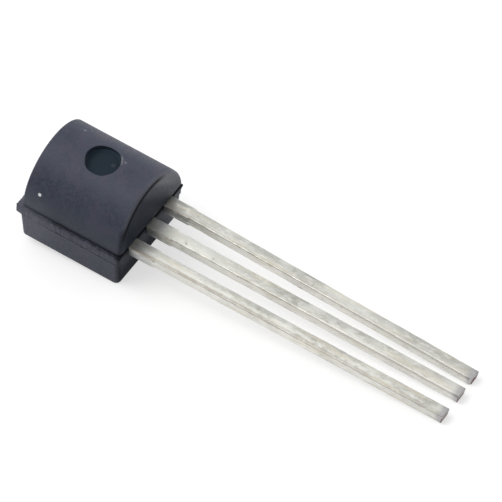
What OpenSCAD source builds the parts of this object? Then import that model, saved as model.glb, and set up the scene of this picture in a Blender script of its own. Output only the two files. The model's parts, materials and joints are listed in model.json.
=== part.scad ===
// Temperature sensor in a three-lead moulded package, lying as it comes to rest:
// on the front edge of its flat and on the tips of its leads.
// Each module is drawn in the package's own axes: the leads run along +X from the
// parting edge at X = 0, the flat lies at Z = 0 and the round side is up.
// at_rest() then tips the whole package on to the surface that it lies on.

/* [Moulded body] */
// Width of the parting rim, across the leads
body_w = 4.58; // [4.52:0.02:5.2]
// Length of the parting rim, along the leads
body_l = 4.94; // [4.7:0.02:5.3]
// Depth from the flat to the parting plane, which the leads' upper faces lie in
flat_depth = 1.83; // [1.5:0.01:2]
// Radius of the round side
dome_r = 2.18; // [2.05:0.01:2.24]
// Height of the straight foot under the round side
dome_foot = 0.16; // [0.02:0.01:0.3]
// How far the rim stands out past the round side at the closed end
nose = 0.25; // [0.15:0.01:0.4]
// How far the rim stands out past the flat half at the closed end
under_nose = 0.12; // [0.04:0.01:0.2]
// Lean of the round side's closed end, in degrees
closed_lean = 1.5; // [0.5:0.5:6]
// Lean of the round side's lead end, in degrees
lead_lean = 1; // [0.5:0.5:6]
// Draft of the flat half's walls, in degrees
draft = 3; // [1:0.5:5]
// Radius of the flat half's upright corners, at the rim
corner_r = 0.22; // [0.15:0.01:0.4]
// Size of the broken edge round the closed end of the round side
closed_break = 0.06; // [0.02:0.01:0.15]
// Size of the broken edge round the lead end of the round side
lead_break = 0.12; // [0.02:0.01:0.15]
// Width of the groove that runs along the parting plane at the lead end
groove_w = 0.13; // [0.06:0.01:0.2]
// Depth of that groove
groove_d = 0.14; // [0.06:0.01:0.25]

/* [Ejector mark] */
// Diameter of the round mark on the crown
mark_d = 1.48; // [1:0.02:1.8]
// Depth of the mark below the crown
mark_depth = 0.32; // [0.2:0.02:0.6]
// How far the mark sits to the side of the crown
mark_off = 0.05; // [-0.3:0.01:0.3]

/* [Leads] */
// Distance between neighbouring leads
pitch = 1.27; // [1.25:0.01:1.3]
// Length of a lead outside the body
lead_l = 14.7; // [12.7:0.1:16]
// Width of a lead
lead_w = 0.51; // [0.4:0.01:0.52]
// Thickness of the lead strip, and of the rim that it is moulded into
lead_t = 0.46; // [0.36:0.01:0.5]
// Width of the shoulder that is left where the tie bar was sheared off
shoulder_w = 0.6; // [0.56:0.01:0.66]
// Length of the shoulder outside the body
shoulder_l = 1.1; // [0.6:0.05:1.6]
// Sideways drift of the tips of leads 1, 2 and 3
tip_drift = [-0.37, -0.08, 0]; // [-0.37:0.01:0.37]

/* [Chip] */
// Width of the chip, across the leads
die_w = 1.3; // [0.9:0.05:1.5]
// Length of the chip, along the leads
die_l = 1.05; // [0.8:0.05:1.2]
// Thickness of the chip
die_t = 0.28; // [0.2:0.01:0.4]
// Thickness of the adhesive under the chip
glue_t = 0.03; // [0.02:0.01:0.06]
// Diameter of a bond wire
wire_d = 0.04; // [0.03:0.005:0.06]

/* [Hidden] */
$fn = 64;

// What a cut or a trimmed shape runs past the surface that it works on
spare = 1;

// Height of the leads' lower faces above the flat
lead_under = flat_depth - lead_t;

// The flat half stands back from the rim by a fine step, and by its draft at the flat
rim_step = 0.02;
rim_corner_r = 0.05;
flat_inset = lead_under * tan(draft);
flat_front = rim_step + flat_inset;
flat_half_back = body_l - under_nose;

// How far the groove at the lead end reaches below the parting plane
groove_dip = 0.02;

// Where the round side starts and ends, and where its axis lies
dome_back = body_l - nose;
dome_axis = flat_depth + dome_foot;
crown = dome_axis + dome_r;

// Lead 1 lies at +Y, so the leads count from the left as the flat is read with the leads down
lead_y = [pitch, 0, -pitch];

// How the package lies: the flat's front edge and the undersides of the lead tips touch the surface
rest_tilt = atan2(lead_under, lead_l + flat_front);
rest_back = lead_under * sin(rest_tilt) - body_l * cos(rest_tilt);
rest_tip = flat_depth * sin(rest_tilt) + lead_l * cos(rest_tilt);

// Inside the body: bond posts on leads 1 and 3, and a paddle on lead 2
shear_l = 0.12;
post_w = 0.84;
post_start = 0.6;
post_end = 1.45;
flare_l = 0.15;
paddle_start = 1.75;
paddle_l = 1.75;
paddle_w = 1.9;
paddle_chamfer = 0.2;

// The chip and its wires
die_x = -paddle_start - paddle_l + paddle_chamfer + die_l / 2;
die_top = flat_depth + glue_t + die_t;
glue_margin = 0.06;
bond_inset = 0.14;
ball_r = 1.2 * wire_d;
ball_h = 0.6 * wire_d;
loop_h = 0.32;
wire_rings = 14;
wire_sides = 8;

resin_grey = [0.26, 0.27, 0.30];
tin_silver = [0.80, 0.80, 0.77];
glue_silver = [0.62, 0.62, 0.63];
chip_blue = [0.30, 0.34, 0.45];
wire_gold = [0.86, 0.68, 0.30];

module at_rest() {
    translate([-(rest_back + rest_tip) / 2, 0, -flat_front * sin(rest_tilt)])
        rotate([0, rest_tilt, 0])
            children();
}

// Draws a 2D section in the YZ plane and runs it along +X
module run_along_x(length) {
    rotate([90, 0, 90])
        linear_extrude(length)
            children();
}

// The section of the round half: a half disc on a short straight foot
module round_section() {
    intersection() {
        translate([0, dome_foot])
            circle(dome_r);
        translate([-dome_r, dome_foot])
            square([2 * dome_r, dome_r]);
    }
    translate([-dome_r, 0])
        square([2 * dome_r, dome_foot]);
}

// All that lies in front of a leaning end wall, with its round edge broken at 45 degrees
module ahead_of_end(lean, broken) {
    rotate([0, 90 + lean, 0]) {
        cylinder(h = broken + spare, r1 = dome_r - broken, r2 = dome_r + spare);
        translate([0, 0, broken + spare])
            cylinder(h = body_l, r = dome_r + spare);
    }
}

module round_half() {
    intersection() {
        translate([-body_l, 0, flat_depth])
            run_along_x(body_l + spare)
                round_section();
        translate([-dome_back, 0, dome_axis])
            ahead_of_end(closed_lean, closed_break);
        translate([0, 0, dome_axis])
            mirror([1, 0, 0])
                ahead_of_end(lead_lean, lead_break);
    }
}

module rounded_rectangle(length, width, radius) {
    translate([radius - length, -width / 2])
        square([length - 2 * radius, width]);
    translate([-length, radius - width / 2])
        square([length, width - 2 * radius]);
    for (x = [-radius, radius - length], side = [-1, 1])
        translate([x, side * (width / 2 - radius)])
            circle(radius);
}

// The rim of strip thickness that both mould halves close on
module parting_rim() {
    translate([0, 0, lead_under])
        linear_extrude(lead_t)
            rounded_rectangle(body_l, body_w, rim_corner_r);
}

// A wall pair that leans in towards the flat, drawn between the corner centres
module drafted_section(half_span) {
    foot = half_span + corner_r - flat_inset;
    head = half_span + corner_r;
    polygon([[-foot, 0], [foot, 0], [head, lead_under], [-head, lead_under]]);
}

// The flat half: four drafted walls that meet in conical corners
module flat_half() {
    half_x = (flat_half_back - rim_step) / 2 - corner_r;
    half_y = body_w / 2 - rim_step - corner_r;
    translate([-(flat_half_back + rim_step) / 2, 0, 0]) {
        rotate([90, 0, 0])
            linear_extrude(2 * half_y, center = true)
                drafted_section(half_x);
        translate([-half_x, 0, 0])
            run_along_x(2 * half_x)
                drafted_section(half_y);
        for (x = [-half_x, half_x], y = [-half_y, half_y])
            translate([x, y, 0])
                cylinder(h = lead_under, r1 = corner_r - flat_inset, r2 = corner_r);
    }
}

module ejector_mark() {
    translate([-dome_back / 2, mark_off, crown - mark_depth])
        cylinder(h = mark_depth + spare, d = mark_d);
}

// The fine groove that the edges of the two mould halves leave across the lead end, above the leads
module parting_groove() {
    bottom_z = flat_depth - groove_dip + groove_w / 2;
    translate([0, body_w / 2 + spare, 0])
        rotate([90, 0, 0])
            linear_extrude(body_w + 2 * spare)
                polygon([
                    [-groove_d, bottom_z], [groove_d, bottom_z - groove_w], [groove_d, bottom_z + groove_w]
                ]);
}

// Everything that the resin was moulded round
module insert() {
    for (i = [0:2]) {
        lead(i);
        bond_wire(i);
    }
    adhesive();
    chip();
}

module moulded_body() {
    color(resin_grey)
        difference() {
            union() {
                round_half();
                parting_rim();
                flat_half();
            }
            ejector_mark();
            parting_groove();
            insert();
        }
}

// Half widths of a lead along its length, from the tip to the body's edge
outer_stations = [
    [lead_l, lead_w / 2], [shoulder_l + shear_l, lead_w / 2], [shoulder_l, shoulder_w / 2]
];

// The same inside the body: a spread bond post, or the paddle that carries the chip
post_stations = [
    [-post_start, shoulder_w / 2], [-post_start - flare_l, post_w / 2], [-post_end, post_w / 2]
];
paddle_stations = [
    [-paddle_start, shoulder_w / 2],
    [-paddle_start, paddle_w / 2],
    [-paddle_start - paddle_l + paddle_chamfer, paddle_w / 2],
    [-paddle_start - paddle_l, paddle_w / 2 - paddle_chamfer]
];

// A lead runs straight out of the body and drifts sideways beyond its shoulder
function drift_at(x, drift) = drift * max(0, x - shoulder_l) / (lead_l - shoulder_l);

function lead_outline(stations, drift) = concat(
    [for (s = stations) [s.x, drift_at(s.x, drift) + s.y]],
    [for (i = [len(stations) - 1:-1:0]) let (s = stations[i]) [s.x, drift_at(s.x, drift) - s.y]]
);

module lead(i) {
    inner_stations = i == 1 ? paddle_stations : post_stations;
    translate([0, lead_y[i], lead_under])
        linear_extrude(lead_t)
            polygon(lead_outline(concat(outer_stations, inner_stations), tip_drift[i]));
}

module adhesive() {
    translate([die_x - die_l / 2 - glue_margin, -die_w / 2 - glue_margin, flat_depth])
        cube([die_l + 2 * glue_margin, die_w + 2 * glue_margin, glue_t]);
}

module chip() {
    translate([die_x - die_l / 2, -die_w / 2, die_top - die_t])
        cube([die_l, die_w, die_t]);
}

// Each wire leaves the chip near the edge that faces its lead, and lands on that lead
bond_starts = [for (side = [1, 0, -1])
    [die_x + die_l / 2 - bond_inset, side * (die_w / 2 - bond_inset), die_top]];
bond_ends = [for (i = [0:2])
    [i == 1 ? -paddle_start + bond_inset : -post_end + bond_inset, lead_y[i], flat_depth]];

// An arch that stands upright at both ends
function arch_point(from, to, t) =
    from + (to - from) * (1 - cos(180 * t)) / 2 + [0, 0, loop_h * sin(180 * t)];
function arch_heading(from, to, t) =
    let (v = (to - from) * sin(180 * t) / 2 + [0, 0, loop_h * cos(180 * t)]) v / norm(v);

// One ring of the wire, square to the arch, turned about the arch's level side direction
function wire_ring(from, to, t) =
    let (
        across = cross([0, 0, 1], to - from),
        side = across / norm(across),
        out = cross(arch_heading(from, to, t), side)
    )
    [for (k = [0:wire_sides - 1])
        arch_point(from, to, t) + wire_d / 2 * (cos(360 * k / wire_sides) * side
            + sin(360 * k / wire_sides) * out)];

module swept_wire(from, to) {
    rings = [for (j = [0:wire_rings]) wire_ring(from, to, j / wire_rings)];
    last = wire_rings * wire_sides;
    sides = [for (j = [0:wire_rings - 1], k = [0:wire_sides - 1])
        let (next = (k + 1) % wire_sides, a = j * wire_sides, b = a + wire_sides)
        [a + k, b + k, b + next, a + next]];
    start_cap = [for (k = [0:wire_sides - 1]) k];
    end_cap = [for (k = [wire_sides - 1:-1:0]) last + k];
    polyhedron(points = [for (ring = rings) each ring], faces = concat([start_cap, end_cap], sides));
}

module bond_wire(i) {
    ball_top = bond_starts[i] + [0, 0, ball_h];
    translate(bond_starts[i])
        cylinder(h = ball_h, r = ball_r);
    swept_wire(ball_top, bond_ends[i]);
}

module lead_1() {
    color(tin_silver) lead(0);
}

module lead_2() {
    color(tin_silver) lead(1);
}

module lead_3() {
    color(tin_silver) lead(2);
}

module die_attach() {
    color(glue_silver) adhesive();
}

module sensor_die() {
    color(chip_blue) chip();
}

module bond_wire_1() {
    color(wire_gold) bond_wire(0);
}

module bond_wire_2() {
    color(wire_gold) bond_wire(1);
}

module bond_wire_3() {
    color(wire_gold) bond_wire(2);
}

at_rest() moulded_body();
at_rest() lead_1();
at_rest() lead_2();
at_rest() lead_3();
at_rest() die_attach();
at_rest() sensor_die();
at_rest() bond_wire_1();
at_rest() bond_wire_2();
at_rest() bond_wire_3();
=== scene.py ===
# %% [markdown]
# # A temperature sensor in a moulded three-lead package
#
# The real part is a chip sealed in a small block of dark resin, with three tinned leads that
# go through the holes of a board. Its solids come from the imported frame, where every size and
# place is settled. This notebook adds what the solids leave plain: worn mould edges, a ragged
# parting line, rolled lead edges, cut tips, and the finish of each material.

# %% Load the solids
import json
import random
from math import atan2, cos, degrees, pi, radians, sin, tan

import bmesh
import bpy
from mathutils import Matrix, Vector

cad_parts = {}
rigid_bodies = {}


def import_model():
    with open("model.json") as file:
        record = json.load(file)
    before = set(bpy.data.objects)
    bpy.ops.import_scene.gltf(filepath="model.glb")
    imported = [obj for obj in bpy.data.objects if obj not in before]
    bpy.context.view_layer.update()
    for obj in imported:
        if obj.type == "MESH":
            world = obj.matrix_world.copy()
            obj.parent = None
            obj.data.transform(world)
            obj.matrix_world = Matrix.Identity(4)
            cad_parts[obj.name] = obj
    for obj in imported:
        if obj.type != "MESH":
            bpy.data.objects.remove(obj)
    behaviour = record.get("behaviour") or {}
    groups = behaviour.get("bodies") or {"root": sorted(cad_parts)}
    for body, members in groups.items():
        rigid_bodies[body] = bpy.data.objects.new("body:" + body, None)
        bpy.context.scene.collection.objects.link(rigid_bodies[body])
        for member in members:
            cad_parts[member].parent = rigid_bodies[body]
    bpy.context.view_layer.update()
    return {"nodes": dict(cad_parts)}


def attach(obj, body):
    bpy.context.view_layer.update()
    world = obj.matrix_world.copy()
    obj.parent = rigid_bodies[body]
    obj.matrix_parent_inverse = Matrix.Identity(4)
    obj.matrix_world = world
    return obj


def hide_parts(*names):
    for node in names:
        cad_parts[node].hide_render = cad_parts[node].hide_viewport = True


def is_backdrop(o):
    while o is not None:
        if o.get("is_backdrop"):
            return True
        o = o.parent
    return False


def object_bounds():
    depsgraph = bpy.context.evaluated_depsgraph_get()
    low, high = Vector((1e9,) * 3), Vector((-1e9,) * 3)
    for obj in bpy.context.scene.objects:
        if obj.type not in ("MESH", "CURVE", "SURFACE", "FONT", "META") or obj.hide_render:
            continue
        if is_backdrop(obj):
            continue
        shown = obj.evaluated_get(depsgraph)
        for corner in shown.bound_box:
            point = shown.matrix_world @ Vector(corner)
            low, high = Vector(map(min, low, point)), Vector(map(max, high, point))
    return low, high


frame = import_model()
print("solids:", ", ".join(sorted(frame["nodes"])))

# %% [markdown]
# ## Sizes and rest
#
# The sizes are those of the solids, in millimetres, in the package's own axes: the leads run
# along +X from the parting edge, the flat lies at Z = 0 and the round side is up. Modelling
# in metres would work too, but at a few thousandths of a unit the merge and bisect
# thresholds bite, so each piece is shaped in millimetres. At the end one matrix shrinks it to
# metres and tips it to its rest, on the front edge of its flat and on the lead tips.

# %% Write down the sizes
body_w, body_l = 4.58, 4.94  # over the parting rim, across the leads and along them
flat_depth = 1.83  # from the flat up to the parting plane
dome_r, dome_foot = 2.18, 0.16  # the round side, and the straight foot under it
nose, under_nose = 0.25, 0.12  # how far the rim stands out at the closed end, above and below
closed_lean, lead_lean, draft = radians(1.5), radians(1), radians(3)
corner_r, rim_step = 0.22, 0.02
mark_d, mark_depth, mark_off = 1.48, 0.32, 0.05
groove_w, groove_d, groove_dip = 0.13, 0.14, 0.02
pitch, lead_l, lead_w, lead_t = 1.27, 14.7, 0.51, 0.46
shoulder_w, shoulder_l, shear_l = 0.6, 1.1, 0.12
tip_drift = (-0.37, -0.08, 0.0)  # how far each tip has drifted sideways

lead_under = flat_depth - lead_t
flat_inset = lead_under * tan(draft)
flat_front = rim_step + flat_inset
flat_back = body_l - under_nose
dome_back = body_l - nose
dome_axis = flat_depth + dome_foot
crown = dome_axis + dome_r

tilt = atan2(lead_under, lead_l + flat_front)
rest_back = lead_under * sin(tilt) - body_l * cos(tilt)
rest_tip = flat_depth * sin(tilt) + lead_l * cos(tilt)
rest_shift = Vector((-(rest_back + rest_tip) / 2, 0, -flat_front * sin(tilt)))
to_rest = Matrix.Translation(rest_shift) @ Matrix.Rotation(tilt, 4, "Y")
to_metres = Matrix.Scale(0.001, 4)
print("rest tilt, degrees:", round(degrees(tilt), 3))

# %% [markdown]
# ## The camera
#
# The camera comes first, because every later choice is judged through it. A small part is
# photographed from a short way off with a long lens, so its parallel edges stay nearly
# parallel. The viewing direction was solved from the lead tips and the body's corners, in the
# package's axes. A camera looks along its own -Z, so its three axis columns are right, up and
# backwards.

# %% Place the camera
sight_right = Vector((0.83653, 0.54730, 0.02605))
sight_down = Vector((0.45134, -0.66134, -0.59910))
sight_ahead = Vector((-0.31066, 0.51293, -0.80025))
stand_point = Vector((81.522, -126.815, 199.473 + flat_depth))
focal_px, picture_px, sensor_mm = 6278.0, 502, 36

lens_data = bpy.data.cameras.new("camera")
lens_data.sensor_width = sensor_mm
lens_data.lens = focal_px / picture_px * sensor_mm
camera = bpy.data.objects.new("camera", lens_data)
bpy.context.scene.collection.objects.link(camera)
axes = Matrix((sight_right, -sight_down, -sight_ahead)).transposed()
turned = Matrix.Rotation(tilt, 3, "Y") @ axes
camera.matrix_world = Matrix.Translation(to_metres @ to_rest @ stand_point) @ turned.to_4x4()
bpy.context.scene.camera = camera
print("camera at, mm:", [round(1000 * v, 1) for v in camera.matrix_world.translation])

# %% [markdown]
# ## Four small helpers
#
# An operator acts on all that is selected, and the loaded solids start out selected. So the
# first helper clears the selection before a new piece is added. The second names the piece,
# puts its place into its mesh and opens it in edit mode. The third picks corners, edges or
# faces by a test on their place, as one would click them by hand, and says how many it found.
# The fourth gives a run of picked edges its rounding.

# %% Define the helpers
def start_clean():
    if bpy.context.object and bpy.context.object.mode != "OBJECT":
        bpy.ops.object.mode_set(mode="OBJECT")
    bpy.ops.object.select_all(action="DESELECT")


def begin_shaping(piece, name):
    piece.name = piece.data.name = name
    bpy.ops.object.transform_apply(location=True, rotation=True, scale=True)
    bpy.ops.object.mode_set(mode="EDIT")
    bpy.ops.mesh.select_all(action="SELECT")


def pick(kind, test):
    bpy.ops.mesh.select_mode(type=kind)
    bpy.ops.mesh.select_all(action="DESELECT")
    shape = bmesh.from_edit_mesh(bpy.context.edit_object.data)
    group = {"VERT": shape.verts, "EDGE": shape.edges, "FACE": shape.faces}[kind]
    for item in group:
        if test(item):
            item.select_set(True)
    shape.select_flush_mode()
    bmesh.update_edit_mesh(bpy.context.edit_object.data)
    return sum(item.select for item in group)


def round_edges(test, size, steps, slide=True):
    count = pick("EDGE", test)
    bpy.ops.mesh.bevel(offset=size, segments=steps, profile=0.5, affect="EDGES", loop_slide=slide)
    return count


print("helpers ready")

# %% [markdown]
# ## The round half of the body
#
# One mould half presses the round side: a half cylinder on a short straight foot, with end
# walls that lean a little so that it leaves the mould. A revolve could make it, but the
# leaning ends are cut most simply: a long cylinder is bisected along its axis plane, the open
# face is pulled down to make the foot, and two tilted bisections trim the ends. The foot's
# sole goes a hair deeper than the parting plane, so that the two halves overlap when they are
# fused.

# %% Cut the round half
dome_sides = 240
overlap = 0.01
trim_play = 1e-5
foot_sole = flat_depth - overlap

start_clean()
bpy.ops.mesh.primitive_cylinder_add(
    vertices=dome_sides, radius=dome_r, depth=body_l + 1,
    location=(-body_l / 2, 0, dome_axis), rotation=(0, pi / 2, 0))
round_half = bpy.context.object
begin_shaping(round_half, "round_half")
bpy.ops.mesh.bisect(plane_co=(0, 0, dome_axis), plane_no=(0, 0, 1),
                    clear_inner=True, use_fill=True, threshold=trim_play)
pick("FACE", lambda face: face.normal.z < -0.9)
bpy.ops.mesh.extrude_region_move(
    TRANSFORM_OT_translate={"value": (0, 0, foot_sole - dome_axis)})

closed_end = (Vector((-dome_back, 0, dome_axis)), Vector((cos(closed_lean), 0, -sin(closed_lean))))
lead_end = (Vector((0, 0, dome_axis)), Vector((-cos(lead_lean), 0, -sin(lead_lean))))
for point, inward in (closed_end, lead_end):
    bpy.ops.mesh.select_all(action="SELECT")
    bpy.ops.mesh.bisect(plane_co=point, plane_no=inward, clear_inner=True, use_fill=True,
                        threshold=trim_play)
print("round half: cut from a cylinder of", dome_sides, "sides")

# %% [markdown]
# ## Wear on the round half
#
# The edge at the lead end is worn rounder than the closed one, and a fine line is sunk along
# it where two parts of the mould met. A knife could draw that line, but the rounding has
# already laid rings of corners along the edge, so it is enough to find a ring by its place on
# the rounding and to push it in. The foot's sole is rounded too, which leaves a dark line
# where it meets the rim, and the far corner of the foot flares out a little.

# %% Wear the edges of the round half
lead_round, lead_steps = 0.18, 6
closed_round, closed_steps = 0.07, 5
sole_round, sole_steps = 0.05, 3
plane_play, ring_play = 1e-3, 0.008
flare_push, flare_reach = 0.13, 1.0


def on_plane(edge, plane):
    return all(abs((corner.co - plane[0]).dot(plane[1])) < plane_play for corner in edge.verts)


def on_sole(edge):
    return all(abs(corner.co.z - foot_sole) < plane_play for corner in edge.verts)


def on_witness_line(corner, ring):
    reach = Vector((0, corner.co.y, max(0, corner.co.z - dome_axis))).length
    below, behind = dome_r - reach, -corner.co.x - tan(lead_lean) * (corner.co.z - dome_axis)
    turn = radians(90 * ring / lead_steps)
    return (abs(below - lead_round * (1 - cos(turn))) < ring_play
            and abs(behind - lead_round * (1 - sin(turn))) < ring_play)


def on_far_foot(corner):
    return corner.co.x > -0.3 and corner.co.y > 2.0 and corner.co.z < dome_axis + 0.1


lead_arc = round_edges(lambda edge: on_plane(edge, lead_end) and not on_sole(edge),
                       lead_round, lead_steps)
for ring, low_y, high_y, depth in (
        (5, -1.95, 0.5, 0.04), (5, 0.5, 0.9, 0.03), (5, 0.9, 1.3, 0.012), (4, -1.95, 0.7, 0.015)):
    line = pick("VERT", lambda corner: on_witness_line(corner, ring)
                and low_y <= corner.co.y < high_y)
    bpy.ops.transform.shrink_fatten(value=-depth)
    print("witness line:", line, "corners sunk by", depth)
closed_arc = round_edges(lambda edge: on_plane(edge, closed_end) and not on_sole(edge),
                         closed_round, closed_steps)
sole_loop = round_edges(on_sole, sole_round, sole_steps)
flare = pick("VERT", on_far_foot)
bpy.ops.transform.translate(value=(0, flare_push, 0), use_proportional_edit=True,
                            proportional_edit_falloff="LINEAR", proportional_size=flare_reach)
bpy.ops.object.mode_set(mode="OBJECT")
print("round half:", lead_arc, closed_arc, sole_loop, "edges rounded,", flare, "corners flared,",
      len(round_half.data.polygons), "faces")

# %% [markdown]
# ## The parting rim
#
# Between the mould halves a rim as thick as the lead strip is left, and it stands out like a
# small nose at the closed end. A plain box would have too few corners to make its edge
# ragged. So only the outline of a plane is kept and cut into short lengths, filled and pulled
# up. On both faces the middle is then drawn in as a seat and raised as a low boss, which
# reaches into the mould half above or below it. So the shapes overlap well inside the edge, and
# shaking the edge afterwards leaves no gap between them.

# %% Model the parting rim
rim_cuts = 79
rim_corner_r, rim_edge_r = 0.06, 0.035
edge_play = 1e-4
ledge, boss_in, boss_h = 0.07, 0.05, 0.1

start_clean()
bpy.ops.mesh.primitive_plane_add(size=1, location=(-body_l / 2, 0, lead_under))
parting_rim = bpy.context.object
parting_rim.scale = (body_l, body_w, 1)
begin_shaping(parting_rim, "parting_rim")
bpy.ops.mesh.delete(type="ONLY_FACE")
bpy.ops.mesh.select_all(action="SELECT")
bpy.ops.mesh.subdivide(number_cuts=rim_cuts)
bpy.ops.mesh.edge_face_add()
bpy.ops.mesh.extrude_region_move(TRANSFORM_OT_translate={"value": (0, 0, lead_t)})
bpy.ops.mesh.select_all(action="SELECT")
bpy.ops.mesh.normals_make_consistent(inside=False)


def at_rim_corner(corner):
    return (abs(abs(corner.co.y) - body_w / 2) < edge_play
            and min(abs(corner.co.x), abs(corner.co.x + body_l)) < edge_play)


def upright(edge):
    return abs(edge.verts[0].co.z - edge.verts[1].co.z) > 0.1


def level(edge, height):
    return all(abs(corner.co.z - height) < edge_play for corner in edge.verts)


round_edges(lambda edge: upright(edge) and at_rim_corner(edge.verts[0]), rim_corner_r, 3)
round_edges(lambda edge: level(edge, flat_depth) or level(edge, lead_under), rim_edge_r, 2)
for up, height, seat in ((1, flat_depth, 0.3), (-1, lead_under, 0.2)):
    pick("FACE", lambda face: up * face.normal.z > 0.9 and face.calc_area() > 1)
    for inward, boss in ((ledge, 0), (seat, 0), (boss_in, boss_h)):
        bpy.ops.mesh.extrude_region_move(TRANSFORM_OT_translate={"value": (0, 0, up * boss)})
        bpy.ops.transform.resize(value=(1 - 2 * inward / body_l, 1 - 2 * inward / body_w, 1),
                                 center_override=(-body_l / 2, 0, height))
print("parting rim:", rim_cuts + 1, "lengths a side, with a seat above and below")

# %% [markdown]
# ## Flash on the rim
#
# Resin creeps into the gap of the mould, and what tears off when the part is pushed out leaves
# the rim ragged. Each corner could be placed by hand, but chance does it better: the corners
# of the side band are shaken a hair's breadth, and its upper and lower edges a little more,
# each with a fixed seed so that every run gives the same rim. The far corner at the lead end
# is pushed out into a small ear.

# %% Shake the rim's edges
band, edge_band = 0.03, 0.05


def on_side_band(corner):
    return (abs(corner.co.y) > body_w / 2 - band
            or corner.co.x > -band or corner.co.x < band - body_l)


def on_long_edges(corner):
    return corner.co.x < -0.1 and (abs(corner.co.y) > body_w / 2 - edge_band
                                   or corner.co.x < edge_band - body_l)


def at_ear(corner):
    return corner.co.x > -0.1 and corner.co.y > body_w / 2 - 0.1


flash = pick("VERT", on_side_band)
bpy.ops.transform.vertex_random(offset=0.008, seed=4)
fringe = pick("VERT", lambda corner: corner.co.z < lead_under + 0.04 and on_long_edges(corner))
bpy.ops.transform.vertex_random(offset=0.03, seed=7)
crest = pick("VERT", lambda corner: corner.co.z > flat_depth - 0.04 and on_long_edges(corner))
bpy.ops.transform.vertex_random(offset=0.025, seed=11)
for low, high, push in ((flat_depth - 0.05, flat_depth + 0.05, 0.03), (0, lead_under + 0.05, -0.06)):
    pick("VERT", lambda corner: at_ear(corner) and low < corner.co.z < high)
    bpy.ops.transform.translate(value=(push, push, 0))
bpy.ops.object.mode_set(mode="OBJECT")
print("parting rim:", flash, "corners made ragged,", crest, "above and", fringe, "below")

# %% [markdown]
# ## The flat half of the body
#
# The other mould half presses a shallow tray shape with drafted walls, and the flat that lies
# against what is measured. A cube whose lower face is scaled in has that draft at once. Its
# upright corners are rounded widely, its lower edge a little, and its upper edge just enough
# to leave a shadow line under the rim.

# %% Model the flat half
flat_half_l, flat_half_w = flat_back - rim_step, body_w - 2 * rim_step
flat_half_top = lead_under + overlap
flat_middle = -(flat_back + rim_step) / 2
flat_edge_r, shadow_edge_r = 0.025, 0.07

start_clean()
bpy.ops.mesh.primitive_cube_add(size=1, location=(flat_middle, 0, flat_half_top / 2))
flat_half = bpy.context.object
flat_half.scale = (flat_half_l, flat_half_w, flat_half_top)
begin_shaping(flat_half, "flat_half")
pick("FACE", lambda face: face.normal.z < -0.9)
bpy.ops.transform.resize(
    value=(1 - 2 * flat_inset / flat_half_l, 1 - 2 * flat_inset / flat_half_w, 1),
    center_override=(flat_middle, 0, 0))
round_edges(upright, corner_r, 8)
round_edges(lambda edge: level(edge, 0), flat_edge_r, 3)
round_edges(lambda edge: level(edge, flat_half_top), shadow_edge_r, 4)
bpy.ops.object.mode_set(mode="OBJECT")
print("flat half:", len(flat_half.data.polygons), "faces")

# %% [markdown]
# ## One moulding
#
# The three shapes are one piece of resin, so they are fused with Boolean unions. Joining the
# meshes would be quicker, but it would leave their walls crossing inside. The manifold solver
# keeps the shell closed. The small groove along the parting plane at the lead end is cut with
# a cube whose inner face is narrowed to a wedge.

# %% Fuse the body and cut its groove
def combine(base, tool, operation):
    start_clean()
    base.select_set(True)
    bpy.context.view_layer.objects.active = base
    step = base.modifiers.new("combine", "BOOLEAN")
    step.operation = operation
    step.solver = "MANIFOLD"
    step.object = tool
    bpy.ops.object.modifier_apply(modifier=step.name)
    bpy.data.objects.remove(tool)


combine(round_half, parting_rim, "UNION")
combine(round_half, flat_half, "UNION")
resin_body = round_half

groove_mid = flat_depth - groove_dip + groove_w / 2
groove_narrowing = 0.1
start_clean()
bpy.ops.mesh.primitive_cube_add(size=1, location=(0, 0, groove_mid))
groove_wedge = bpy.context.object
groove_wedge.scale = (2 * groove_d, body_w + 1, 2 * groove_w)
begin_shaping(groove_wedge, "groove_wedge")
pick("FACE", lambda face: face.normal.x < -0.9)
bpy.ops.transform.resize(value=(1, 1, groove_narrowing),
                         center_override=(-groove_d, 0, groove_mid))
bpy.ops.object.mode_set(mode="OBJECT")
combine(resin_body, groove_wedge, "DIFFERENCE")
print("resin body:", len(resin_body.data.polygons), "faces after fusing")

# %% [markdown]
# ## The ejector mark
#
# The pin that pushes the part out of its mould leaves a round sunk mark on the crown. It is
# cut with a cylinder whose lower edge is rounded first, because a mould pin never leaves a
# razor corner. The real outline isn't a perfect circle, so the cylinder is first pushed in and
# out at a few bearings, with a soft falloff to both sides.

# %% Sink the mark
mark_x, mark_r = -dome_back / 2, mark_d / 2
mark_floor = crown - mark_depth
pin_sides, pin_h, pin_edge_r = 128, 1, 0.05

start_clean()
bpy.ops.mesh.primitive_cylinder_add(
    vertices=pin_sides, radius=mark_r, depth=pin_h,
    location=(mark_x, mark_off, mark_floor + pin_h / 2))
mark_pin = bpy.context.object
begin_shaping(mark_pin, "mark_pin")
for bearing, push in ((35, -0.02), (205, -0.02), (243, 0.02), (300, 0.03), (335, 0.03), (168, -0.02)):
    out = Vector((cos(radians(bearing)), sin(radians(bearing)), 0))
    spot = Vector((mark_x, mark_off, 0)) + out * mark_d / 2
    pick("VERT", lambda corner: (corner.co.xy - spot.xy).length < 0.02)
    bpy.ops.transform.translate(value=out * push, use_proportional_edit=True,
                                proportional_edit_falloff="SMOOTH", proportional_size=0.4,
                                use_proportional_connected=True)
round_edges(lambda edge: level(edge, mark_floor), pin_edge_r, 3)
bpy.ops.object.mode_set(mode="OBJECT")
combine(resin_body, mark_pin, "DIFFERENCE")
print("resin body:", len(resin_body.data.polygons), "faces with the mark")

# %% [markdown]
# ## The lip of the mark
#
# The cut leaves a sharp lip, and where it crosses the cylinder's narrow faces its edges are of
# very uneven length, which a bevel can't follow. So the corners along the lip that almost
# touch are merged first. The bevel then goes round without sliding along the narrow faces,
# which would fold them over. Last, the corners that the cuts left in the middle of a straight
# edge are dissolved, as they carry no shape.

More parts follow.
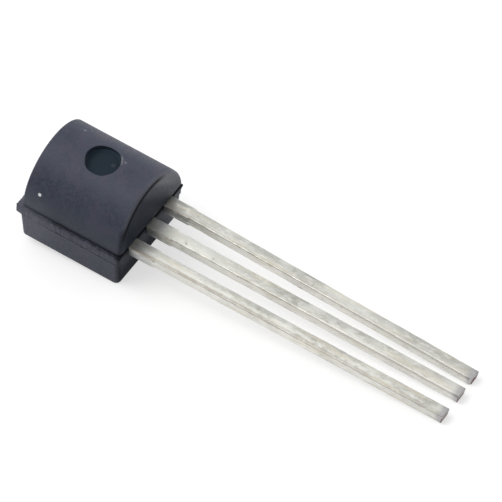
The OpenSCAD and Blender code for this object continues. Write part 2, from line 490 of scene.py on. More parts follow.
# %% Soften the lip of the mark
lip_play, lip_merge, lip_r = 0.08, 0.012, 0.02


def off_mark_axis(corner):
    return Vector((corner.co.x - mark_x, corner.co.y - mark_off)).length


def near_lip(corner):
    return abs(off_mark_axis(corner) - mark_r) < lip_play


def on_lip(edge):
    middle = (edge.verts[0].co + edge.verts[1].co) / 2
    return (all(near_lip(corner) for corner in edge.verts) and middle.z > mark_floor + 0.1
            and len(edge.link_faces) == 2 and edge.calc_face_angle() > radians(30))


def carries_no_shape(corner):
    return len(corner.link_edges) == 2 and all(len(face.verts) > 4 for face in corner.link_faces)


bpy.context.view_layer.objects.active = resin_body
resin_body.select_set(True)
begin_shaping(resin_body, "resin_body")
pick("VERT", lambda corner: near_lip(corner) and corner.co.z > mark_floor + 0.06)
bpy.ops.mesh.remove_doubles(threshold=lip_merge)
lip = round_edges(on_lip, lip_r, 3, slide=False)
bpy.ops.mesh.select_all(action="SELECT")
bpy.ops.mesh.remove_doubles(threshold=1e-4)
spare = pick("VERT", carries_no_shape)
bpy.ops.mesh.dissolve_verts()
bpy.ops.mesh.select_all(action="SELECT")
bpy.ops.mesh.normals_make_consistent(inside=False)
bpy.ops.object.mode_set(mode="OBJECT")
print("lip of the mark:", lip, "edges rounded,", spare, "spare corners taken out")

# %% [markdown]
# ## Setting a finished piece at rest
#
# Every finished piece takes the same last steps. The matrix from the start brings it to
# metres and to its rest, and applying it leaves the object itself at the origin, unturned and
# unscaled. Smooth shading by angle with weighted normals keeps flat faces flat next to their
# small rounded edges.

# %% Define the last steps
smooth_angle = radians(38)


def set_at_rest(piece, node):
    start_clean()
    piece.select_set(True)
    bpy.context.view_layer.objects.active = piece
    piece.matrix_world = to_metres @ to_rest
    bpy.ops.object.transform_apply(location=True, rotation=True, scale=True)
    bpy.ops.object.shade_smooth_by_angle(angle=smooth_angle)
    even = piece.modifiers.new("even_shading", "WEIGHTED_NORMAL")
    even.keep_sharp = True
    bpy.ops.object.modifier_apply(modifier=even.name)
    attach(piece, "root")
    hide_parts(node)
    piece.data.calc_loop_triangles()
    print(piece.name, "stands for", node, "with", len(piece.data.loop_triangles), "triangles")


set_at_rest(resin_body, "moulded_body")

# %% [markdown]
# ## True normals for the round side
#
# Where a long flat strip of the cylinder meets the small faces round the mark, averaged
# normals lean a little, and a dark smooth surface shows that as a faint star. More faces would
# hide it, but the shape is known: on a cylinder the normal points straight away from the axis.
# So the faces that lie on it get exactly that normal, turned to the rest.

# %% Give the round side its true normals
to_package = (to_metres @ to_rest).inverted()
lean = Matrix.Rotation(tilt, 3, "Y")
mesh = resin_body.data
axis_foot, across_axis = Vector((0, 0, dome_axis)), Vector((0, 1, 1))
spoke = [(to_package @ corner.co - axis_foot) * across_axis for corner in mesh.vertices]
normals = [corner.vector.copy() for corner in mesh.corner_normals]
mended = 0
for face in mesh.polygons:
    if all(spoke[v].z > -1e-4 and abs(spoke[v].length - dome_r) < 2e-3 for v in face.vertices):
        for loop in face.loop_indices:
            normals[loop] = lean @ spoke[mesh.loops[loop].vertex_index].normalized()
        mended += 1
mesh.normals_split_custom_set(normals)
print("round side:", mended, "faces shaded as the true cylinder")

# %% [markdown]
# ## The leads
#
# The leads are stamped from one strip, and a bar that tied them together was sheared off
# after moulding, which leaves a wider shoulder next to the body. An outline could be filled
# and thickened, but a lead is drawn here as a maker would pull it: a small plane at the inner
# end is extruded from station to station, and scaled across where the strip gets wider or
# narrower. Small chance steps along the shaft keep it from looking ruled.

# %% Draw a strip
lead_mid = flat_depth - lead_t / 2
shaft_steps = 26
shaft_start = shoulder_l + shear_l


def drift_at(x, drift):
    return drift * max(0, x - shoulder_l) / (lead_l - shoulder_l)


def draw_lead(number, y, drift, inner):
    chance = random.Random(number)
    stations = [(x, half, 0.0) for x, half in inner]
    stations += [(shoulder_l, shoulder_w / 2, 0.0), (shaft_start, lead_w / 2, 0.0)]
    for step in range(1, shaft_steps):
        x = shaft_start + (lead_l - shoulder_l - shear_l) * step / shaft_steps
        uneven = lead_w / 2 + chance.uniform(-0.005, 0.003)
        stations.append((x, uneven, chance.uniform(-0.004, 0.004)))
    stations.append((lead_l, lead_w / 2, 0.0))

    start_clean()
    x, half, _ = stations[0]
    bpy.ops.mesh.primitive_plane_add(size=1, location=(x, y, lead_mid), rotation=(0, -pi / 2, 0))
    strip = bpy.context.object
    strip.scale = (lead_t, 2 * half, 1)
    begin_shaping(strip, f"tinned_lead_{number}")
    here = Vector((x, y, lead_mid))
    for x, wide, shake in stations[1:]:
        there = Vector((x, y + drift_at(x, drift) + shake, lead_mid))
        bpy.ops.mesh.extrude_region_move(TRANSFORM_OT_translate={"value": there - here})
        bpy.ops.transform.resize(value=(1, wide / half, 1), center_override=there)
        here, half = there, wide
    bpy.ops.mesh.select_all(action="SELECT")
    bpy.ops.mesh.normals_make_consistent(inside=False)
    return strip


print("a strip has", shaft_steps, "steps from", shaft_start, "to", lead_l)

# %% [markdown]
# ## Edges and tips of the leads
#
# The punch rolls the upper edges over and leaves the lower ones crisper, so they get different
# roundings. The shears press each tip down before they cut it, so the cut slants and its upper
# edge is worn round. A bevel there would run into the rolled edges, so the tip is trimmed with
# a few cutting planes instead, each turned a little further. Every lead also keeps a value
# named across, which runs from -1 at its near edge to 1 at its far edge and follows the lead's
# drift, so that the finish can follow the edges.

# %% Make the three leads
upper_roll, lower_roll = 0.035, 0.03
tip_slant, tip_round = 0.08, 0.09
worn_r, worn_back = 0.22, 0.05
post_inner = [(-1.45, 0.42), (-0.75, 0.42), (-0.6, shoulder_w / 2)]
paddle_inner = [(-3.5, 0.75), (-3.3, 0.95), (-1.76, 0.95), (-1.74, shoulder_w / 2)]


def along(edge):
    one, two = edge.verts
    return max(one.co.x, two.co.x) > 0 and abs(one.co.x - two.co.x) > 0.1


def wear_edge(turning, side, radius):
    for turn in (15, 35, 55, 75):
        out = Vector(side) * cos(radians(turn)) + Vector((sin(radians(turn)), 0, 0))
        bpy.ops.mesh.select_all(action="SELECT")
        bpy.ops.mesh.bisect(plane_co=Vector(turning) + out * radius, plane_no=out,
                            clear_outer=True, use_fill=True)


def note_across(strip, y, drift):
    across = strip.data.attributes.new("across", "FLOAT", "POINT")
    for corner, place in zip(strip.data.vertices, across.data):
        half = (shoulder_w if corner.co.x < shoulder_l else lead_w) / 2
        place.value = (corner.co.y - y - drift_at(corner.co.x, drift)) / half


leads = []
for number, y, drift, inner in (
        (1, pitch, tip_drift[0], post_inner),
        (2, 0.0, tip_drift[1], paddle_inner),
        (3, -pitch, tip_drift[2], post_inner)):
    strip = draw_lead(number, y, drift, inner)
    pick("VERT", lambda corner: corner.co.x > lead_l - 1e-3 and corner.co.z < lead_mid)
    bpy.ops.transform.translate(value=(-tip_slant, 0, 0))
    round_edges(lambda edge: along(edge) and edge.verts[0].co.z > lead_mid, upper_roll, 3)
    round_edges(lambda edge: along(edge) and edge.verts[0].co.z < lead_under + 0.01, lower_roll, 2)
    wear_edge((lead_l - tip_round, 0, flat_depth - tip_round), (0, 0, 1), tip_round)
    if number == 1:
        near_side = y + drift - lead_w / 2
        wear_edge((lead_l - worn_r - worn_back, near_side + worn_r, 0), (0, -1, 0), worn_r)
    bpy.ops.object.mode_set(mode="OBJECT")
    note_across(strip, y, drift)
    set_at_rest(strip, f"lead_{number}")
    leads.append(strip)

# %% [markdown]
# ## Reading a place on the part
#
# A finish that changes from place to place, such as a stain near the body or a cut tip, needs
# to know where on the part it is. Object coordinates tell that in the part's frame, in metres.
# A Mapping node turns them back into the package's own axes and millimetres, so the numbers in
# the materials are the ones from the drawing. A ramp turns a place into a share from one value
# to another, shares are multiplied where they meet, and each paint call lays one tone over the
# colour so far by such a share.

# %% Define the material helpers
class Bench:
    def __init__(self, tree):
        self.nodes = tree.nodes
        self.links = tree.links

    def add(self, kind, inputs=None, **settings):
        node = self.nodes.new(kind)
        for key, value in settings.items():
            setattr(node, key, value)
        for key, value in (inputs or {}).items():
            if isinstance(value, bpy.types.NodeSocket):
                self.links.new(value, node.inputs[key])
            else:
                node.inputs[key].default_value = value
        return node

    def ramp(self, value, low, high, low_to=0.0, high_to=1.0):
        return self.add("ShaderNodeMapRange", {
            "Value": value, "From Min": low, "From Max": high, "To Min": low_to, "To Max": high_to,
        }, interpolation_type="SMOOTHSTEP").outputs["Result"]

    def reckon(self, operation, first, *others):
        for other in others:
            step = self.add("ShaderNodeMath", {0: first, 1: other}, operation=operation)
            first = step.outputs["Value"]
        return first

    def times(self, *shares):
        return self.reckon("MULTIPLY", *shares)

    def plus(self, *values):
        return self.reckon("ADD", *values)

    def minus(self, value, less):
        return self.reckon("SUBTRACT", value, less)

    def most(self, *values):
        return self.reckon("MAXIMUM", *values)

    def vector(self, operation, one, two=(0, 0, 0)):
        return self.add("ShaderNodeVectorMath", {0: one, 1: two}, operation=operation).outputs


class Finish(Bench):
    def __init__(self, name):
        self.material = bpy.data.materials.new(name)
        self.material.use_nodes = True
        super().__init__(self.material.node_tree)
        self.shader = self.nodes["Principled BSDF"]
        self.colour = None
        self.place = self.add("ShaderNodeMapping", {
            "Vector": self.add("ShaderNodeTexCoord").outputs["Object"],
            "Location": -(Matrix.Rotation(-tilt, 3, "Y") @ rest_shift),
            "Rotation": (0, -tilt, 0), "Scale": (1000, 1000, 1000)}).outputs["Vector"]

    def axes(self):
        apart = self.add("ShaderNodeSeparateXYZ", {"Vector": self.place})
        return [apart.outputs[name] for name in "XYZ"]

    def attribute(self, name):
        return self.add("ShaderNodeAttribute", attribute_name=name).outputs["Fac"]

    def stretched(self, scale):
        return self.add("ShaderNodeMapping", {"Vector": self.place, "Scale": scale}).outputs["Vector"]

    def noise(self, scale, detail=4, place=None, roughness=0.55):
        return self.add("ShaderNodeTexNoise", {
            "Vector": place or self.place, "Scale": scale, "Detail": detail, "Roughness": roughness,
        }).outputs["Fac"]

    def off(self, value, middle):
        gap = self.minus(value, middle)
        return self.add("ShaderNodeMath", {0: gap}, operation="ABSOLUTE").outputs["Value"]

    def away(self, point, kept_axes):
        gap = self.vector("SUBTRACT", self.place, point)["Vector"]
        return self.vector("MULTIPLY", gap, kept_axes)["Vector"]

    def near(self, point, inner, outer):
        gap = self.vector("DISTANCE", self.place, point)["Value"]
        return self.ramp(gap, inner, outer, 1.0, 0.0)

    def blend(self, share, one, two, how="MIX"):
        one, two = [tone + (1,) if isinstance(tone, tuple) else tone for tone in (one, two)]
        return self.add("ShaderNodeMix", {0: share, 6: one, 7: two},
                        data_type="RGBA", blend_type=how).outputs[2]

    def paint(self, share, tone, how="MIX"):
        self.colour = self.blend(share, self.colour, tone, how)

    def use(self, socket, value):
        self.links.new(value, self.shader.inputs[socket])

    def relief(self, height, strength, distance):
        self.use("Normal", self.add("ShaderNodeBump", {
            "Height": height, "Strength": strength, "Distance": distance}).outputs["Normal"])

    def coat_on(self, *pieces):
        for piece in pieces:
            piece.data.materials.clear()
            piece.data.materials.append(self.material)


print("material helpers ready")

# %% [markdown]
# ## The moulding resin
#
# The body is epoxy filled with fine silica and a little carbon black. It comes out of an
# eroded mould, so its skin is dull charcoal, slightly cloudy, with a fine even grain. A single
# noise would look like paint. So broad clouds come first, a warmer and a cooler tint go over
# them, and two finer noises add the pores and the grain.

# %% Mix the resin's skin
resin = Finish("moulding_resin")
x, y, z = resin.axes()
clouds = resin.noise(0.9, detail=3)
tint = resin.noise(1.7, detail=4, roughness=0.6)
pores = resin.noise(8, detail=4, roughness=0.65)
grain = resin.noise(26, detail=3)
resin.colour = resin.blend(resin.ramp(clouds, 0.35, 0.65),
                           (0.025, 0.032, 0.053), (0.041, 0.043, 0.072))
resin.paint(resin.ramp(tint, 0.45, 0.62, 0.0, 0.7), (0.050, 0.045, 0.066))
resin.paint(resin.ramp(tint, 0.38, 0.5, 0.6, 0.0), (0.030, 0.044, 0.058))
resin.paint(resin.ramp(pores, 0.38, 0.62, 0.0, 0.8), (0.047, 0.053, 0.080))
resin.paint(resin.ramp(grain, 0.6, 0.75, 0.0, 0.5), (0.075, 0.08, 0.10))
print("resin skin:", len(resin.nodes), "nodes")

# %% [markdown]
# ## The resin in the mark and at the lead end
#
# The resin inside the sunk mark is painted darker and less hazy than the skin, and its wall a
# little lighter than its floor. A mask finds it as what lies within the mark's circle and under
# the cylinder of the round side. The face at the lead end is dark in the photograph, and a tone
# by place adds painted shade to the shade that the light gives it. The tone fades towards the
# upper far corner, which is painted pale, a painted light.

# %% Tone the mark and the lead end
from_mark = resin.away((mark_x, mark_off, 0), (1, 1, 0))
mark_reach = resin.vector("LENGTH", from_mark)["Value"]
dome_reach = resin.vector("LENGTH", resin.away((0, 0, dome_axis), (0, 1, 1)))["Value"]
sunk = resin.times(resin.ramp(mark_reach, mark_r + 0.06, mark_r + 0.1, 1.0, 0.0),
                   resin.ramp(dome_reach, dome_r - 0.05, dome_r - 0.02, 1.0, 0.0),
                   resin.ramp(z, dome_axis, dome_axis + 0.5))
resin.paint(sunk, (0.011, 0.020, 0.030))
wall = resin.times(sunk, resin.ramp(mark_reach, mark_r - 0.12, mark_r - 0.04))
resin.paint(wall, (0.020, 0.034, 0.052))

# painted shade: the face at the lead end is painted darker, above and below the rim
up_face = resin.plus(y, z)
above_rim = resin.ramp(z, flat_depth - 0.1, flat_depth + 0.05)
upper_dark = resin.times(resin.ramp(up_face, 0.7, 2.2, 1.0, 0.78),
                         resin.ramp(up_face, 3.0, 4.25, 1.0, 0.0),
                         resin.ramp(y, -2.0, -1.6, 0.75, 1.0), above_rim)
lower_dark = resin.times(resin.minus(1.0, above_rim),
                         resin.plus(resin.ramp(y, 0.5, 2.0, 0.75, 0.2),
                                    resin.ramp(z, 0.4, 1.3, 0.22, 0.0)))
low_end = resin.times(resin.plus(upper_dark, lower_dark), resin.ramp(x, -0.3, -0.05))
resin.paint(low_end, (0.004, 0.008, 0.017))
# painted light: the upper far corner of the lead-end face is painted pale
painted_light_end = resin.times(resin.ramp(x, -0.2, -0.03),
                       resin.ramp(up_face, 3.95, 4.4, 0.0, 0.8), above_rim)
resin.paint(painted_light_end, (0.14, 0.142, 0.165))
print("mark and lead end toned:", len(resin.nodes), "nodes")

# %% [markdown]
# ## Lines and creases in the resin
#
# Painted shade, with some dust, darkens every narrow place: the groove at the lead end, the sunk
# line along its worn edge and both sides of the rim. The shape alone could show them, but such a
# groove is hardly a pixel wide in the picture, so a dark tone backs it up. The lower part of the
# round side, above the rim, is painted darker as shade. The distance from a line, turned into a
# share, gives a soft dark band, and a stretched noise makes the two creases of the rim wavy. The
# rounded edge above the sunk line is painted lighter, a painted highlight.

# %% Draw the lines and creases
# painted shade, with some dust, in the groove at the lead end
gap_line = resin.times(resin.ramp(resin.off(z, flat_depth), 0.06, 0.17, 0.97, 0.0),
                       resin.ramp(x, -0.25, -0.1))
resin.paint(gap_line, (0.0005, 0.001, 0.002))

# painted shade, with some dust, along the sunk line of the worn edge
line_reach = resin.ramp(z, dome_axis + 0.6, dome_axis + 1.6, dome_r - 0.09, dome_r - 0.19)
dark_line = resin.times(resin.ramp(resin.off(dome_reach, line_reach), 0.04, 0.12, 0.8, 0.0),
                        resin.ramp(x, -0.12, -0.07), resin.ramp(y, 0.5, 1.3, 1.0, 0.0),
                        resin.ramp(z, dome_axis + 0.45, dome_axis + 0.9))
resin.paint(dark_line, (0.002, 0.003, 0.005))
# painted highlight: the rounded edge above the sunk line is painted lighter
edge_highlight = resin.times(resin.ramp(dome_reach, dome_r - 0.14, dome_r - 0.07, 0.0, 0.75),
                        resin.ramp(x, -0.26, -0.12), resin.ramp(y, 0.2, 1.2, 1.0, 0.0),
                        resin.ramp(z, dome_axis + 0.9, dome_axis + 1.4))
resin.paint(edge_highlight, (0.085, 0.088, 0.112))

# painted shade: the lower part of the round side, just above the rim, is painted darker
foot = resin.times(resin.ramp(z, flat_depth, flat_depth + 0.05),
                   resin.ramp(z, flat_depth + 0.1, flat_depth + 1.5, 0.5, 0.0))
resin.paint(foot, (0.018, 0.025, 0.037))
# painted shade, with some dust, along both sides of the rim
beside = resin.ramp(resin.off(y, 0.0), dome_r - 0.06, dome_r - 0.02)
ragged = resin.noise(1.0, detail=3, place=resin.stretched((3.5, 1, 1)), roughness=0.6)
wavy_z = resin.plus(z, resin.ramp(ragged, 0.35, 0.65, -0.05, 0.05))
for middle, reach, weight in ((flat_depth + 0.01, 0.09, 0.7), (lead_under - 0.03, 0.06, 0.75)):
    crease = resin.ramp(resin.off(wavy_z, middle), 0.3 * reach, reach, weight, 0.0)
    resin.paint(resin.times(beside, crease), (0.004, 0.006, 0.010))
print("lines and creases drawn:", len(resin.nodes), "nodes")

# %% [markdown]
# ## Specks on the resin, and its gloss
#
# A stretch of the mark's lip is painted pale, partly a worn chip and partly a painted highlight,
# a few flecks and one bright speck of filler sit on the skin, a pale spot on the mark's floor is a
# painted reflection, and the near closed corner is painted lighter, a painted light. The pale
# stretch is found by its bearing round the mark, and each of the others is the share of a ball
# round its place. The skin is dull with a faint gloss that the pores break up, while the mark, the
# lead end and the lines stay matt, and a very low relief gives the grain.

# %% Add the specks and the gloss
mark_sides = resin.add("ShaderNodeSeparateXYZ", {"Vector": from_mark}).outputs
bearing = resin.reckon("ARCTAN2", mark_sides["Y"], mark_sides["X"])
# partly wear and partly painted highlight: a stretch of the mark's lip is painted pale
chip_and_highlight = resin.times(resin.ramp(bearing, 0.1, 0.35), resin.ramp(bearing, 0.7, 1.0, 1.0, 0.0),
                      resin.ramp(mark_reach, mark_r - 0.05, mark_r - 0.03),
                      resin.ramp(mark_reach, mark_r + 0.02, mark_r + 0.1, 0.6, 0.0),
                      resin.ramp(z, crown - 0.14, crown - 0.1))
resin.paint(chip_and_highlight, (0.17, 0.175, 0.19))
# the third fleck, on the mark's floor, is a painted reflection; the other two are pale flecks
for place, reach, weight, tone in (((0.82, 0.37, crown - 0.04), 0.08, 0.5, 0.22),
                                   ((-1.5, 0.95, crown - 0.22), 0.08, 0.9, 0.24),
                                   ((0.38, 0.16, mark_floor), 0.13, 0.5, 0.06)):
    fleck = resin.near(Vector(place) + Vector((mark_x, mark_off, 0)), 0.2 * reach, reach)
    resin.paint(resin.times(fleck, weight), (tone, 1.05 * tone, 1.2 * tone))
# painted light: the near closed corner is painted lighter
painted_light_corner = resin.near((-4.9, -2.3, 1.0), 0.6, 2.4)
resin.paint(resin.times(painted_light_corner, 0.7), (0.098, 0.101, 0.135))
speck = resin.near((-3.985, -2.009, 2.835), 0.05, 0.095)
resin.paint(speck, (0.75, 0.76, 0.76))

resin.use("Base Color", resin.colour)
resin.shader.inputs["Specular IOR Level"].default_value = 0.3
dullness = resin.ramp(pores, 0.35, 0.65, 0.44, 0.62)
bare_lines = resin.most(gap_line, resin.minus(dark_line, edge_highlight))
matt = resin.times(resin.most(sunk, low_end, bare_lines), 0.95)
resin.use("Roughness", resin.most(dullness, matt))
resin.relief(resin.plus(grain, pores), 0.5, 0.00002)
resin.coat_on(resin_body)
print("moulding resin:", len(resin.nodes), "nodes")

# %% [markdown]
# ## The tin on the leads
#
# The leads are a copper alloy with a dull coat of tin. The drawn strip shows through it as
# fine lines along the lead, so its noise is stretched far along X. The far half of each top is
# painted darker as shade, the near lead has a painted highlight along its middle, the far lead is
# greyer, and the sides are painted lighter than the tops, a painted light.

# %% Mix the tin
tin = Finish("dull_tin")
x, y, z = tin.axes()
across = tin.attribute("across")
near_lead = tin.ramp(y, -1.0, -0.8, 1.0, 0.0)
lines = tin.noise(1.0, detail=5, place=tin.stretched((0.4, 13, 13)))
tin.colour = tin.blend(tin.ramp(lines, 0.3, 0.7), (0.60, 0.605, 0.56), (0.67, 0.67, 0.635))
# painted shade: each top is painted darker towards its far edge
tin.paint(tin.ramp(across, -0.5, 1.0, 0.0, 0.6), (0.49, 0.495, 0.465))
# painted highlight along the middle of the near lead's top
ridge_highlight = tin.times(tin.ramp(tin.off(across, -0.1), 0.0, 0.6, 0.7, 0.0), near_lead)
tin.paint(ridge_highlight, (0.88, 0.88, 0.81))
far_tone = tin.times(tin.ramp(y, 0.4, 0.8, 0.0, 0.4), tin.ramp(x, 1.0, 11.0, 0.35, 1.6))
tin.paint(far_tone, (0.50, 0.50, 0.47))
# painted light: the sides are painted lighter than the tops
side = tin.ramp(z, flat_depth - 0.08, flat_depth - 0.03, 0.9, 0.0)
tin.paint(side, (0.88, 0.86, 0.81))
print("tin:", len(tin.nodes), "nodes")

# %% [markdown]
# ## Stains on the tin
#
# Grey clouds grow stronger towards the tips, and a slow tarnish runs through them. Next to the
# body the photograph shows the tops and sides in shade, and a tone along the lead adds to what
# the light gives there. Yellowish streaks, pale flecks and small dark dents come last, because
# they lie on top of the rest. A noise decides where a stain is, and a ramp along the lead how
# strong it is.

# %% Stain the tin
clouds = tin.noise(1.0, detail=4, place=tin.stretched((2.4, 5, 5)), roughness=0.65)
toward_tip = tin.times(tin.ramp(x, 1.0, 10.0, 0.45, 0.8), tin.minus(1.2, side))
tin.paint(tin.times(tin.ramp(clouds, 0.44, 0.64), toward_tip), (0.42, 0.42, 0.38))
tarnish = tin.noise(1.0, detail=2, place=tin.stretched((0.5, 0.9, 0.3)))
tin.paint(tin.ramp(tarnish, 0.42, 0.62), (0.85, 0.85, 0.84), how="MULTIPLY")
tin.paint(tin.ramp(tarnish, 0.3, 0.46, 0.5, 0.0), (0.82, 0.82, 0.77))

# painted light: the tops a little way out from the body are painted lighter
root_painted_light = tin.times(tin.ramp(x, 2.5, 6.0, 0.45, 0.0), tin.ramp(y, 0.4, 0.8, 1.0, 0.3))
tin.paint(root_painted_light, (0.84, 0.84, 0.79))
top_shade = tin.times(tin.ramp(x, 0.35, 1.2, 0.65, 0.0), tin.ramp(y, 0.5, 0.9, 1.0, 0.4))
tin.paint(top_shade, (0.40, 0.43, 0.48), how="MULTIPLY")
side_shade = tin.plus(tin.ramp(x, 1.0, 1.3, 0.4, 0.0), tin.ramp(x, 0.6, 3.8, 0.57, 0.03))
side_shade = tin.times(side_shade, tin.ramp(x, 0.35, 0.7, 0.78, 1.0))
far_side = tin.times(tin.ramp(x, 2.0, 5.0, 0.22, 0.0), tin.ramp(y, 0.4, 0.8))
side_shade = tin.times(tin.plus(side_shade, far_side), side, tin.ramp(y, -1.0, -0.7, 0.45, 1.0))
tin.paint(side_shade, (0.38, 0.39, 0.40), how="MULTIPLY")
tin.paint(tin.ramp(x, 6.0, 13.0, 0.0, 0.3), (0.50, 0.49, 0.465))

streaks = tin.noise(1.0, detail=3, place=tin.stretched((0.5, 4.5, 4.5)))
tin.paint(tin.ramp(streaks, 0.5, 0.66, 0.0, 0.5), (0.67, 0.62, 0.50))
flecks = tin.noise(1.0, detail=3, place=tin.stretched((3, 8, 8)), roughness=0.6)
tin.paint(tin.ramp(flecks, 0.5, 0.7, 0.0, 0.5), (0.82, 0.82, 0.77))
dents = tin.noise(3.2, detail=2)
tin.paint(tin.ramp(dents, 0.69, 0.75, 0.0, 0.6), (0.30, 0.29, 0.25))
print("tin with stains:", len(tin.nodes), "nodes")

# %% [markdown]
# ## Worn edges, the roots and the cut tips
#
# The near upper edges are rubbed to a brownish line, most on the near lead. Towards the tips of
# the other two the upper sides are painted pale, a painted light, and made rough. At the roots a
# film of resin bled on to the tin, with dark spots at the sheared shoulders. At the tips the tops
# are painted darker and bluish, partly tin that the shears dragged over the cut and partly a
# painted reflection of the rolled end, and bare brown metal is left below. The value across tells
# where the edges are, and the slant of the cut where its face is.

# %% Wear the edges and cut the tips
rubbed = tin.times(tin.ramp(across, -0.75, -0.35, 1.0, 0.0),
                   tin.plus(tin.ramp(y, -1.0, -0.8, 1.0, 0.2), tin.ramp(y, 0.3, 0.6, 0.0, 0.45)),
                   tin.ramp(x, 3.5, 6.0, 1.0, 0.7), tin.ramp(clouds, 0.35, 0.6, 0.6, 1.0))
rolled = tin.times(tin.ramp(across, -0.98, -0.82, 1.0, 0.0), tin.ramp(clouds, 0.35, 0.6, 0.3, 0.8))
rolled = tin.times(tin.most(rolled, rubbed), tin.ramp(z, flat_depth - 0.04, flat_depth - 0.02),
                   tin.most(near_lead, tin.ramp(x, 9.5, 13.0, 1.0, 0.2)))
tin.paint(rolled, (0.40, 0.37, 0.32))
# painted light: the upper near sides of the other two leads are painted pale towards the tips, and
# rougher
painted_light_band = tin.times(tin.ramp(x, 5.0, 10.0), tin.ramp(across, -0.9, -0.7, 1.0, 0.0),
                    tin.ramp(z, flat_depth - 0.24, flat_depth - 0.1), tin.minus(1.0, near_lead))
tin.paint(tin.times(painted_light_band, 0.75), (0.86, 0.845, 0.80))

bleed_edge = tin.plus(x, tin.times(tin.noise(6), -0.7))
tin.paint(tin.ramp(bleed_edge, -0.25, 0.15, 0.6, 0.0), (0.30, 0.30, 0.285))
for lead_y in (pitch, 0.0, -pitch):
    for spot_x, aside, reach in ((shoulder_l + 0.06, -0.28, 0.1), (0.42, -0.08, 0.06)):
        spot = tin.near((spot_x, lead_y + aside, flat_depth - 0.04), 0.3 * reach, reach)
        tin.paint(tin.times(spot, 0.6), (0.26, 0.25, 0.21))

# partly painted reflection: the tops at the tips are painted darker and bluish, partly as dragged tin
tin.paint(tin.ramp(x, lead_l - 0.45, lead_l - 0.1, 0.0, 0.75), (0.36, 0.355, 0.375))
slant = tin.plus(x, tin.times(tin.minus(flat_depth, z), tip_slant / lead_t))
cut_wave = tin.plus(z, tin.times(tin.noise(9), 0.12))
bare = tin.times(tin.ramp(slant, lead_l - 0.05, lead_l - 0.015),
                 tin.ramp(cut_wave, lead_under + 0.34, lead_under + 0.48, 1.0, 0.0))
tin.paint(bare, (0.13, 0.075, 0.07))

tin.use("Base Color", tin.colour)
tin.shader.inputs["Metallic"].default_value = 0.9
dullness = tin.ramp(clouds, 0.3, 0.7, 0.32, 0.45)
tin.use("Roughness", tin.most(dullness, tin.times(painted_light_band, 0.8)))
tin.relief(tin.plus(lines, clouds), 0.25, 0.00002)
tin.coat_on(*leads)
print("dull tin:", len(tin.nodes), "nodes")

# %% [markdown]
# ## The pieces sealed inside
#
# The chip, its adhesive and the bond wires stay as the solids are, because nothing shows them.
# They still get their finish, for whoever cuts the part open: grey polished silicon with a
# faint grid, silver-filled adhesive, and gold.

# %% Finish the sealed pieces
silicon = Finish("polished_silicon")
grid = silicon.add("ShaderNodeTexBrick", {
    "Vector": silicon.place, "Color1": (0.10, 0.12, 0.19, 1), "Color2": (0.13, 0.15, 0.21, 1),
    "Mortar": (0.30, 0.31, 0.34, 1), "Scale": 6.0, "Mortar Size": 0.03})
silicon.use("Base Color", grid.outputs["Color"])
silicon.use("Roughness", silicon.ramp(silicon.noise(20), 0.3, 0.7, 0.12, 0.2))
silicon.coat_on(frame["nodes"]["sensor_die"])

adhesive = Finish("silver_adhesive")
flakes = adhesive.noise(60, detail=2)
adhesive.use("Base Color", adhesive.blend(flakes, (0.25, 0.25, 0.26), (0.55, 0.55, 0.56)))
adhesive.use("Roughness", adhesive.ramp(flakes, 0.3, 0.7, 0.4, 0.6))
adhesive.coat_on(frame["nodes"]["die_attach"])

gold = Finish("bond_gold")
drawn = gold.noise(80, detail=2)
gold.use("Base Color", gold.blend(drawn, (0.78, 0.53, 0.20), (0.88, 0.66, 0.30)))
gold.use("Roughness", gold.ramp(drawn, 0.3, 0.7, 0.18, 0.3))
gold.shader.inputs["Metallic"].default_value = 1.0
gold.coat_on(*(frame["nodes"][f"bond_wire_{n}"] for n in (1, 2, 3)))
print("sealed pieces finished: sensor_die, die_attach, bond wires")

# %% [markdown]
# ## The floor
#
# Small parts are photographed on white paper. The floor is a plain pale sheet, just under the
# part. More light on it would also bleach the part, so a mix by ray type is used: the camera
# and the reflections see a sheet with a faint glow, which comes out nearly white and still
# takes the part's shadow, and all other rays meet a plain sheet that bounces light back up.

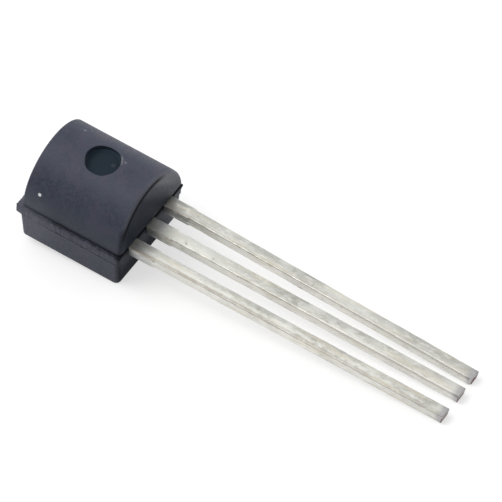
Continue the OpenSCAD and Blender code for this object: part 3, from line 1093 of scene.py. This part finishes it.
# %% Lay the floor
start_clean()
bpy.ops.mesh.primitive_plane_add(size=4, location=(0, 0, -0.00002))
floor = bpy.context.object
floor.name = "paper_floor"
floor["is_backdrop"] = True
paper = bpy.data.materials.new("white_paper")
paper.use_nodes = True
bench = Bench(paper.node_tree)
bench.nodes.clear()
rays = bench.add("ShaderNodeLightPath").outputs
seen = bench.most(rays["Is Camera Ray"], rays["Is Glossy Ray"], rays["Is Transmission Ray"])
sheet = bench.add("ShaderNodeBsdfDiffuse", {"Color": (0.45, 0.45, 0.45, 1)}).outputs["BSDF"]
glow = bench.add("ShaderNodeEmission", {"Strength": 0.57}).outputs["Emission"]
glowing_sheet = bench.add("ShaderNodeAddShader", {0: sheet, 1: glow}).outputs["Shader"]
bounce = bench.add("ShaderNodeBsdfDiffuse", {"Color": (0.75, 0.75, 0.75, 1)}).outputs["BSDF"]
choice = bench.add("ShaderNodeMixShader", {0: seen, 1: bounce, 2: glowing_sheet}).outputs["Shader"]
bench.add("ShaderNodeOutputMaterial", {"Surface": choice})
floor.data.materials.append(paper)
print("floor laid, with", len(bench.nodes), "nodes")

# %% [markdown]
# ## The light
#
# The photograph has soft light from all round and one broad source overhead. Several lamps
# could give that, but each would show as a spot in the tin. So one round lamp hangs high, a
# little towards the closed end and the near side, and the world plays a tent of white cloth. It
# is brightest towards the far upper side, where the lead tops mirror it, and dim towards the
# camera. White light at a plain level lets each colour come out about as it is written.

# %% Hang the light
key_side = Vector((-0.45, -0.2, 0.87)).normalized()
key_distance, key_size, key_watts = 0.5, 0.35, 1.05
key_box = bpy.data.lights.new("key_box", "AREA")
key_box.shape = "DISK"
key_box.size = key_size
key_box.energy = key_watts
holder = bpy.data.objects.new("key_box", key_box)
bpy.context.scene.collection.objects.link(holder)
holder.location = key_side * key_distance
holder.rotation_euler = key_side.to_track_quat("Z", "Y").to_euler()

tent_side = Vector((-0.35, 0.55, 0.76)).normalized()
world = bpy.data.worlds.new("light_tent")
bpy.context.scene.world = world
world.use_nodes = True
bench = Bench(world.node_tree)
toward = bench.add("ShaderNodeTexCoord").outputs["Generated"]
facing = bench.vector("DOT_PRODUCT", toward, tent_side)["Value"]
backdrop = bench.nodes["Background"].inputs
bench.links.new(bench.ramp(facing, -0.4, 0.6, 0.04, 1.0), backdrop["Strength"])
backdrop["Color"].default_value = (1, 1, 1, 1)
bpy.context.scene.view_settings.view_transform = "Standard"
print("light hung: a lamp of", key_watts, "W and the tent")

# %% [markdown]
# ## Measuring
#
# The box round the visible pieces is measured, in millimetres.

# %% Measure the visible pieces
low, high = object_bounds()
print("visual box, mm:", [round(1000 * side, 3) for side in high - low])
